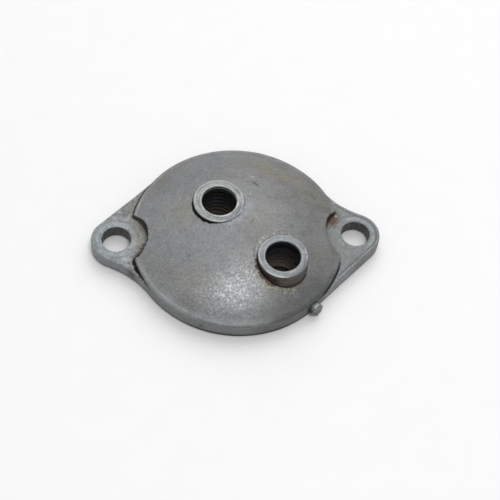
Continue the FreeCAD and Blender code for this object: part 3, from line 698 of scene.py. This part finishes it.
for s in (1.0, -1.0):
    d = np.hypot(x - s * BOLT, y)
    t = np.arctan2(y, (x - s * BOLT))
    ring = np.exp(-((d - 4.35) / 0.35) ** 2) * (z > 3.8)
    side_of = arc_gap(t, 300, 359.9) + arc_gap(t, 0, 120) if s > 0 else arc_gap(t, 120, 260) + 0.35
    base = mix(base, (150, 155, 158), ring * np.clip(side_of, 0, 1) * np.clip(0.6 + 0.5 * N2.fbm(co, 1.2, 3), 0, 1))
    outer = np.exp(-((d - 5.2) / 0.2) ** 2) * (z > 3.8)
    base = mix(base, (100, 103, 104), outer * 0.45)
    lip = np.exp(-((d - 3.55) / 0.15) ** 2) * (z > 3.6)
    base = mix(base, (150, 153, 155), lip * 0.35)
    # painted shade inside the bolt holes
    hole = (d < HOLE_R + 0.25) & (z < 3.75)
    wallc = mix(np.full((len(co), 3), (70.0, 71.0, 71.0)), (96, 97, 96), step(N3.fbm(co, 0.8, 3), 0.0, 0.4))
    base[hole] = wallc[hole]
    floor_ = np.exp(-((d - 6.6) / 1.3) ** 2) * (r < 26.0) * (z > 3.5)
    tone_ = (118, 115, 108) if s < 0 else (110, 111, 108)
    base = mix(base, tone_, floor_ * (0.55 + 0.5 * N3.fbm(co, 2.0, 3)))
dnr_ = np.hypot(x - BOLT, y)
# right notch: brown dirt packed in the far half
dirt = blob(co, 23.3, 4.4, 1.5, 1.9, 0) * (z > 3.2)
base = mix(base, (78, 60, 45), np.clip(dirt * (1.4 + 0.9 * N2.fbm(co, 0.8, 3)), 0, 1))
dirt = blob(co, 24.4, 5.0, 0.55, 0.7, 0) * (z > 3.2)
base = mix(base, (150, 142, 130), dirt * step(N1.fbm(co, 0.6, 3), -0.1, 0.3))
near_ = np.exp(-((dnr_ - 6.9) / 1.2) ** 2) * step(1.6 - y, 0.0, 2.0) * (z > 3.2)
base = mix(base, (112, 113, 112), near_ * 0.75)
# left notch: pale dusty floor
dust = blob(co, -23.4, 0.6, 1.6, 4.2, 0) * (z > 3.2)
base = mix(base, (128, 125, 118), dust * 0.7)
dust = blob(co, -25.6, 7.6, 2.4, 1.7, 40) * (z > 3.2)
base = mix(base, (106, 103, 99), dust * (0.7 + 0.6 * N2.fbm(co, 1.2, 3)))
dust = blob(co, -22.0, 12.5, 3.5, 1.6, 40) * (z > 3.2)
base = mix(base, (112, 109, 104), dust * (0.7 + 0.5 * N3.fbm(co, 1.2, 3)))
# grime and painted shade along the foot of the dome's edge
dnl = np.hypot(x + BOLT, y)
dnr = np.hypot(x - BOLT, y)
clear = (dnl > NOTCH_R - 0.4) * (dnr > NOTCH_R - 0.4) * (z > 3.0)
out_ = r - DISC_R
low_ = arc_gap(th, 181, 216)
tap = step(-y, 5.9, 6.7) * (1 - step(-y, 8.0, 12.5))
w = 0.06 + 0.62 * low_ * tap * np.clip(0.85 + 1.0 * ragged(th, 34.0, N2), 0.1, 2.0)
w = w + (0.24 + 0.2 * ragged(th, 22.0, N4)) * low_
w = w + (0.34 + 0.12 * ragged(th, 22.0, N4)) * arc_gap(th, 128, 176)
w = w + 0.34 * arc_gap(th, 312, 347)
line_ = step(w - out_, -0.10, 0.14) * (out_ > -0.8) * clear
on = np.maximum(arc_gap(th, 136, 172), low_)
on = np.maximum(on, 0.95 * arc_gap(th, 310, 347))
base = mix(base, (26, 24, 21), line_ * on * 0.97)
brown = np.exp(-((out_ - 1.3) / 0.8) ** 2) * np.maximum(low_, arc_gap(th, 146, 168)) * clear
base = mix(base, (96, 88, 78), brown * np.clip(0.3 + 0.8 * N1.fbm(co, 1.0, 3), 0, 1))
# dirt and painted shade against the notches' walls
for s, a0, a1, wide in ((-1.0, 0, 62, 0.18), (-1.0, 298, 352, 1.25), (1.0, 118, 176, 0.40)):
    bx = x - s * BOLT
    tn = np.arctan2(y, bx)
    dn = np.hypot(bx, y)
    band = step(dn, NOTCH_R - wide * (1.2 + ragged(tn, 16.0, N4)), NOTCH_R - 0.02) * (z > 3.2) * (dn < 7.6)
    base = mix(base, (38, 33, 28), band * arc_gap(tn, a0, a1) * 0.95)
scr = blob(co, -27.4, 7.0, 1.6, 0.13, -12) * (z > 3.8)
base = mix(base, (84, 86, 86), scr)
scr = blob(co, -25.4, -8.6, 1.4, 0.3, -45) * (z < 3.6) * (z > 1.2) * side
base = mix(base, (52, 52, 52), scr)
pit = np.exp(-(((x + 9.8) / 0.35) ** 2 + ((z - 2.6) / 0.3) ** 2)) * (y < -20)
base = mix(base, (45, 44, 42), pit)
speck = step(N1.fbm(co + 3.0, 0.5, 3), 0.66, 0.85)
base = mix(base, (84, 85, 84), speck * 0.7)
pale = step(N3.fbm(co + 17.0, 0.55, 3), 0.66, 0.85)
base = mix(base, (186, 190, 192), pale * 0.6)
# painted contact shadow along the bottom edge, deepest at the front
low = step(1.0 - z, 0.0, 0.3)
base = mix(base, (26, 25, 24), low * (0.45 + 0.53 * arc_gap(th, 205, 340)))
base = mix(base, (40, 39, 38), step(1.6 - z, 0.0, 0.7) * arc_gap(th, 232, 322) * (r < DISC_R + 0.2) * 0.7)
# painted shade on the front right of the rim's side wall
base = lift(base, 1.0 - 0.30 * side * arc_gap(th, 268, 340) * (r < DISC_R + 0.2))
mask = np.empty((len(co), 3))
mask[:, 0] = 0.54 + 0.10 * N2.fbm(co, 3.0, 3) + 0.3 * line_ * on
mask[:, 1] = 1.7
mask[:, 2] = 0.0
paint(plate, base, np.clip(mask, 0.05, 1.0))
plate.data.materials.append(cast_metal("plate_cast_skin", 0.38, 0.5, 0.34, 0.9))


# ------------------------------------------------------------------ sleeves
def sleeve_rough(co, nor):
    wave = N2.fbm(co, 2.5, 3) * 0.02
    return np.minimum(wave, 0.015) - 0.02


rear, co, nor = build("rear_port_sleeve_turned", "rear_port_sleeve", f_rear, 0.12, sleeve_rough)
x, y, z = co.T
d = np.hypot(x - B1X, y - B1Y)
th = np.arctan2(y - B1Y, x - B1X)
base = np.full((len(co), 3), (139.0, 143.0, 144.0))
rings = np.sin(d * 11.0 + 0.8 * N1.fbm(co, 3.0, 2))
base = mix(base, (106, 108, 108), step(rings, 0.2, 0.9) * 0.5)
base = mix(base, (142, 145, 146), step(N2.fbm(co, 0.9, 3), 0.1, 0.5) * 0.6)
base = mix(base, (88, 89, 88), step(N4.fbm(co, 0.6, 3), 0.35, 0.6) * 0.6)
# painted highlights along the top's inner and outer edges, each strongest on one side
edge = np.exp(-((d - 4.42) / 0.12) ** 2) * (z > 12.3)
base = mix(base, (196, 197, 194), edge * (0.30 + 0.7 * arc_gap(th, 262, 359.9)))
edge = np.exp(-((d - 5.88) / 0.13) ** 2) * (z > 12.2)
base = mix(base, (182, 184, 184), edge * (0.25 + 0.7 * arc_gap(th, 60, 275)))
groove_ = np.exp(-((d - 5.45) / 0.10) ** 2) * (z > 12.4) * np.maximum(arc_gap(th, 0, 200), 0.3)
base = mix(base, (88, 90, 90), groove_ * step(N3.fbm(co, 1.6, 3), -0.3, 0.3) * 0.7)
flush = arc_gap(th, 275, 350) * step(d, 4.9, 6.0) * (z > 12.2)
base = mix(base, (118, 122, 127), flush * 0.8)
base = lift(base, 1.0 - 0.24 * arc_gap(th, 225, 345) * (z > 12.2) * (d > 4.5))
scr = N3.fbm(np.stack([d * 9.0, np.cos(th) * 5.0, np.sin(th) * 5.0], 1), 3.0, 3)
base = mix(base, (80, 82, 82), step(scr, 0.25, 0.5) * 0.55 * (z > 12.3))
base = mix(base, (170, 173, 174), step(-scr, 0.25, 0.5) * 0.45 * (z > 12.3))
# inside the bore: a painted shadow band under the mouth, painted light growing with depth, a brownish painted glow
# low on one side, painted glints on the thread crests and a painted highlight on the first thread
bore = (d < PORT_R + 0.75) & (z < 12.52)
depth = 12.4 - z
deep = np.full((len(co), 3), (58.0, 59.0, 62.0))
deep = mix(deep, (26, 27, 30), step(depth, 0.0, 1.0))
deep = mix(deep, (56, 57, 62), step(depth, 2.0, 6.0))
deep = mix(deep, (84, 76, 74), step(depth, 6.0, 8.5))
deep = mix(deep, (112, 106, 98), step(depth, 9.0, 11.2))
deep = mix(deep, (140, 126, 84), np.exp(-((((th - 0.62) / 0.35) ** 2) + ((depth - 9.5) / 2.2) ** 2)) * 0.7)
crest = np.exp(-((d - PORT_R) / 0.10) ** 2)
deep = lift(deep, 1.0 + 0.30 * crest)
first = np.exp(-(((z - 11.9) / 0.09) ** 2))
deep = mix(deep, (176, 176, 172), first * 0.8)
base[bore] = deep[bore]
# painted shade on the sleeve's outer side wall
wall = (nor[:, 2] < 0.4) & (d > 5.5) & (z > 7)
base = mix(base, (40, 37, 34), wall * 0.85)
mask = np.empty((len(co), 3))
mask[:, 0] = 0.42 + 0.1 * N1.fbm(co, 1.5, 3)
mask[:, 1] = 0.45
mask[:, 2] = 0.0
mask[bore, 0] = 0.55
paint(rear, base, np.clip(mask, 0.05, 1.0))
rear.data.materials.append(cast_metal("sleeve_turned_a", 0.35, 0.5, 0.26, 0.8, 1.2))

front, co, nor = build("front_port_sleeve_turned", "front_port_sleeve", f_front, 0.11, sleeve_rough, 8)
x, y, z = co.T
d = np.hypot(x - B2X, y - B2Y)
th = np.arctan2(y - B2Y, x - B2X)
base = np.full((len(co), 3), (122.0, 126.0, 128.0))
rings = np.sin(d * 9.0 + 0.7 * N1.fbm(co, 3.0, 2))
base = mix(base, (112, 115, 116), step(rings, 0.2, 0.9) * 0.4)
base = mix(base, (138, 141, 142), step(N2.fbm(co, 1.0, 3), 0.1, 0.5) * 0.5)
base = mix(base, (94, 97, 100), step(N4.fbm(co, 0.8, 3), 0.35, 0.6) * 0.6)
# painted highlights along the top's outer and inner edges, strongest at the front
edge = np.exp(-((d - 5.66) / 0.15) ** 2) * (z > 11.5)
base = mix(base, (196, 198, 196), edge * (0.10 + 0.85 * arc_gap(th, 215, 285)))
edge = np.exp(-((d - 5.55) / 0.16) ** 2) * (z > 11.5) * arc_gap(th, 120, 210)
base = mix(base, (168, 171, 171), edge * 0.7)
scr = N3.fbm(np.stack([d * 9.0, np.cos(th) * 5.0, np.sin(th) * 5.0], 1), 3.0, 3)
base = mix(base, (86, 89, 91), step(scr, 0.25, 0.5) * 0.5 * (z > 11.5))
base = mix(base, (160, 164, 166), step(-scr, 0.25, 0.5) * 0.4 * (z > 11.5))
edge = np.exp(-((d - 4.38) / 0.12) ** 2) * (z > 11.6)
base = mix(base, (152, 155, 156), edge * 0.45)
wall = (nor[:, 2] < 0.6) & (d > 5.2)
# outer wall: painted shade on its left and lower-left side and at its foot, paler streaks as painted light on its
# right side, with dark streaks and a rust spot
wc = np.full((len(co), 3), (82.0, 82.0, 78.0))
wc = mix(wc, (34, 29, 24), step(11.8 - z, 0.0, 1.2) * arc_gap(th, 160, 262) * np.clip(0.85 + 0.5 * N2.fbm(co, 1.0, 3), 0, 1))
streak = N1.fbm(co * (0.35, 0.35, 2.2), 1.0, 3)
wc = mix(wc, (58, 54, 48), step(streak, 0.05, 0.4) * 0.6)
wc = lift(wc, 1.0 - 0.45 * arc_gap(th % (2 * math.pi), 160, 250))
wc = mix(wc, (104, 104, 100), step(-streak, 0.15, 0.5) * arc_gap(th, 255, 345) * 0.5)
rust = np.exp(-((((th % (2 * math.pi)) - math.radians(236)) / 0.16) ** 2 + ((z - 8.6) / 0.8) ** 2))
wc = mix(wc, (128, 78, 42), rust * 0.8)
wc = mix(wc, (46, 42, 38), step(8.9 - z, 0.0, 0.9) * 0.5)
base[wall] = wc[wall]
# inside the bore: a painted shadow band under the lip, painted light growing with depth, black painted shade at the
# ledge's inner edge, and a rust stain
bore = (d < 5.05) & (z < 11.6)
deep = np.full((len(co), 3), (44.0, 45.0, 50.0))
deep = mix(deep, (24, 24, 27), step(11.2 - z, 0.0, 1.8) * (1 - step(9.6 - z, 0.0, 0.5)))
deep = mix(deep, (66, 66, 70), step(9.2 - z, 0.0, 1.2))
deep = mix(deep, (104, 100, 97), step(7.6 - z, 0.0, 3.2))
deep = mix(deep, (152, 142, 133), step(4.6 - z, 0.0, 2.6))
deep = mix(deep, (165, 155, 145), step(1.6 - z, 0.0, 0.4))
deep = mix(deep, (9, 9, 9), step(3.55 - d, 0.0, 0.2) * (z < 1.6))
deep = lift(deep, 1.0 + 0.5 * N2.fbm(co * (1, 1, 2.5), 1.4, 3))
deep = mix(deep, (150, 96, 62), np.exp(-((((th % (2 * math.pi)) - math.radians(165)) / 0.22) ** 2 + ((z - 7.4) / 1.2) ** 2)) * 0.8)
base[bore] = deep[bore]
mask = np.empty((len(co), 3))
mask[:, 0] = 0.44 + 0.1 * N1.fbm(co, 1.5, 3)
mask[:, 1] = 0.4
mask[:, 2] = 0.0
mask[wall, 0] = 0.62
paint(front, base, np.clip(mask, 0.05, 1.0))
front.data.materials.append(cast_metal("sleeve_turned_b", 0.35, 0.5, 0.26, 0.7, 1.2))

# --------------------------------------------------------------------- stub
stub, co, nor = build("index_pin_worn", "index_pin", f_stub, 0.06, lambda c, n: np.minimum(N2.fbm(c, 0.9, 3) * 0.03, 0.02) - 0.02)
x, y, z = co.T
u = x * SDX + y * SDY - DISC_R
base = np.full((len(co), 3), (96.0, 97.0, 98.0))
# painted light on the upward faces and a painted highlight on the ridge; painted shade at the root and on the faces
# turned to the left
base = mix(base, (138, 142, 144), step(nor[:, 2], 0.35, 0.8) * 0.9)
v_ = -x * SDY + y * SDX
ridge = np.exp(-((v_ + 1.25) / 0.22) ** 2) * (z > 3.2)
base = mix(base, (186, 188, 188), ridge * 0.8)
base = mix(base, (52, 50, 49), step(0.45 - u, 0.0, 0.5))
base = mix(base, (70, 70, 70), step(N1.fbm(co, 0.7, 3), 0.1, 0.5) * 0.6)
base = mix(base, (60, 59, 58), step(-nor[:, 0], 0.2, 0.8) * 0.7)
mask = np.empty((len(co), 3))
mask[:, 0] = 0.45
mask[:, 1] = 0.5
mask[:, 2] = 0.0
paint(stub, base, mask)
stub.data.materials.append(cast_metal("pin_steel", 0.6, 0.5, 0.2, 0.4, 1.0))

# ------------------------------------------------------------- carried nodes
for name, mat in (
    ("cover_seal", plain_rubber("seal_rubber_skin", (0.03, 0.03, 0.03), 0.6, 0.5)),
    ("head_gasket", plain_rubber("gasket_skin", (0.022, 0.02, 0.018), 0.75, 0.4)),
    ("retaining_ring", plain_rubber("ring_steel_skin", (0.13, 0.13, 0.135), 0.42, 0.8)),
):
    o = NODES[name]
    if name == "retaining_ring":
        mat.node_tree.nodes["Principled BSDF"].inputs["Metallic"].default_value = 0.9
    o.data.materials.clear()
    o.data.materials.append(mat)

# -------------------------------------------------------------------- stage
bpy.ops.mesh.primitive_plane_add(size=3.0, location=(0, 0, -0.00002))
floor = bpy.context.object
floor.name = "floor"
fm = bpy.data.materials.new("paper")
fm.use_nodes = True
nt = fm.node_tree
bs = nt.nodes["Principled BSDF"]
bs.inputs["Roughness"].default_value = 0.9
bs.inputs["Specular IOR Level"].default_value = 0.1
tc = nt.nodes.new("ShaderNodeTexCoord")
tx = node(nt, "ShaderNodeTexNoise", Scale=140.0, Detail=4.0)
rp = nt.nodes.new("ShaderNodeValToRGB")
rp.color_ramp.elements[0].color = (0.83, 0.83, 0.835, 1)
rp.color_ramp.elements[1].color = (0.86, 0.86, 0.86, 1)
nt.links.new(tc.outputs["Object"], tx.inputs["Vector"])
nt.links.new(tx.outputs["Fac"], rp.inputs[0])
nt.links.new(rp.outputs[0], bs.inputs["Base Color"])
floor.data.materials.append(fm)

# what the ports look down on: a dark painted-shadow patch on the floor, shut in under the cover
bpy.ops.mesh.primitive_circle_add(vertices=64, radius=0.0172, fill_type="NGON", location=(0, 0, 0.00001))
patch = bpy.context.object
patch.name = "painted_shadow_patch"
pm = bpy.data.materials.new("painted_shadow_paper")
pm.use_nodes = True
nt = pm.node_tree
nt.nodes["Principled BSDF"].inputs["Roughness"].default_value = 0.8
nt.nodes["Principled BSDF"].inputs["Specular IOR Level"].default_value = 0.2
tc = nt.nodes.new("ShaderNodeTexCoord")
tx = node(nt, "ShaderNodeTexNoise", Scale=400.0, Detail=4.0)
rp = nt.nodes.new("ShaderNodeValToRGB")
rp.color_ramp.elements[0].color = (0.02, 0.018, 0.016, 1)
rp.color_ramp.elements[1].color = (0.04, 0.036, 0.032, 1)
nt.links.new(tc.outputs["Object"], tx.inputs["Vector"])
nt.links.new(tx.outputs["Fac"], rp.inputs[0])
nt.links.new(rp.outputs[0], nt.nodes["Principled BSDF"].inputs["Base Color"])
patch.data.materials.append(pm)

world = bpy.data.worlds.new("studio")
bpy.context.scene.world = world
world.use_nodes = True
world.node_tree.nodes["Background"].inputs[0].default_value = (1.0, 1.0, 1.0, 1.0)
world.node_tree.nodes["Background"].inputs[1].default_value = 0.49


def area(name, loc, target, size, power, colour=(1, 1, 1)):
    data = bpy.data.lights.new(name, "AREA")
    data.shape = "DISK"
    data.size = size
    data.energy = power
    data.color = colour
    o = bpy.data.objects.new(name, data)
    bpy.context.scene.collection.objects.link(o)
    o.location = loc
    o.rotation_mode = "QUATERNION"
    o.rotation_quaternion = (Vector(target) - Vector(loc)).to_track_quat("-Z", "Y")
    return o


area("key", (0.16, 0.50, 0.62), (0, 0, 0), 0.95, 4.2)
area("over", (0.085, -0.19, 0.60), (0, 0, 0), 0.16, 0.84)
area("low", (-0.06, -0.33, 0.60), (0, 0, 0), 0.26, 0.52)

# ------------------------------------------------------------------- camera
az, el, roll = math.radians(-10.62), math.radians(56.63), math.radians(7.52)
back = Vector((math.sin(az) * math.cos(el), -math.cos(az) * math.cos(el), math.sin(el)))
right_ = Vector((math.cos(az), math.sin(az), 0.0))
up_ = back.cross(right_)
cr, sr = math.cos(roll), math.sin(roll)
cx_ = right_ * cr + up_ * sr
cy_ = up_ * cr - right_ * sr
loc = Vector((-26.5226, -160.4421, 245.6225)) * MM
cam_data = bpy.data.cameras.new("camera")
cam_data.sensor_width = 36.0
cam_data.lens = 1224.0 / 500.0 * 36.0
cam_data.clip_start = 0.01
cam_data.clip_end = 20.0
cam = bpy.data.objects.new("camera", cam_data)
bpy.context.scene.collection.objects.link(cam)
m = Matrix((
    (cx_.x, cy_.x, back.x, loc.x),
    (cx_.y, cy_.y, back.y, loc.y),
    (cx_.z, cy_.z, back.z, loc.z),
    (0, 0, 0, 1),
))
cam.matrix_world = m
bpy.context.scene.camera = cam
bpy.context.scene.view_settings.view_transform = "Standard"
bpy.context.scene.view_settings.look = "None"
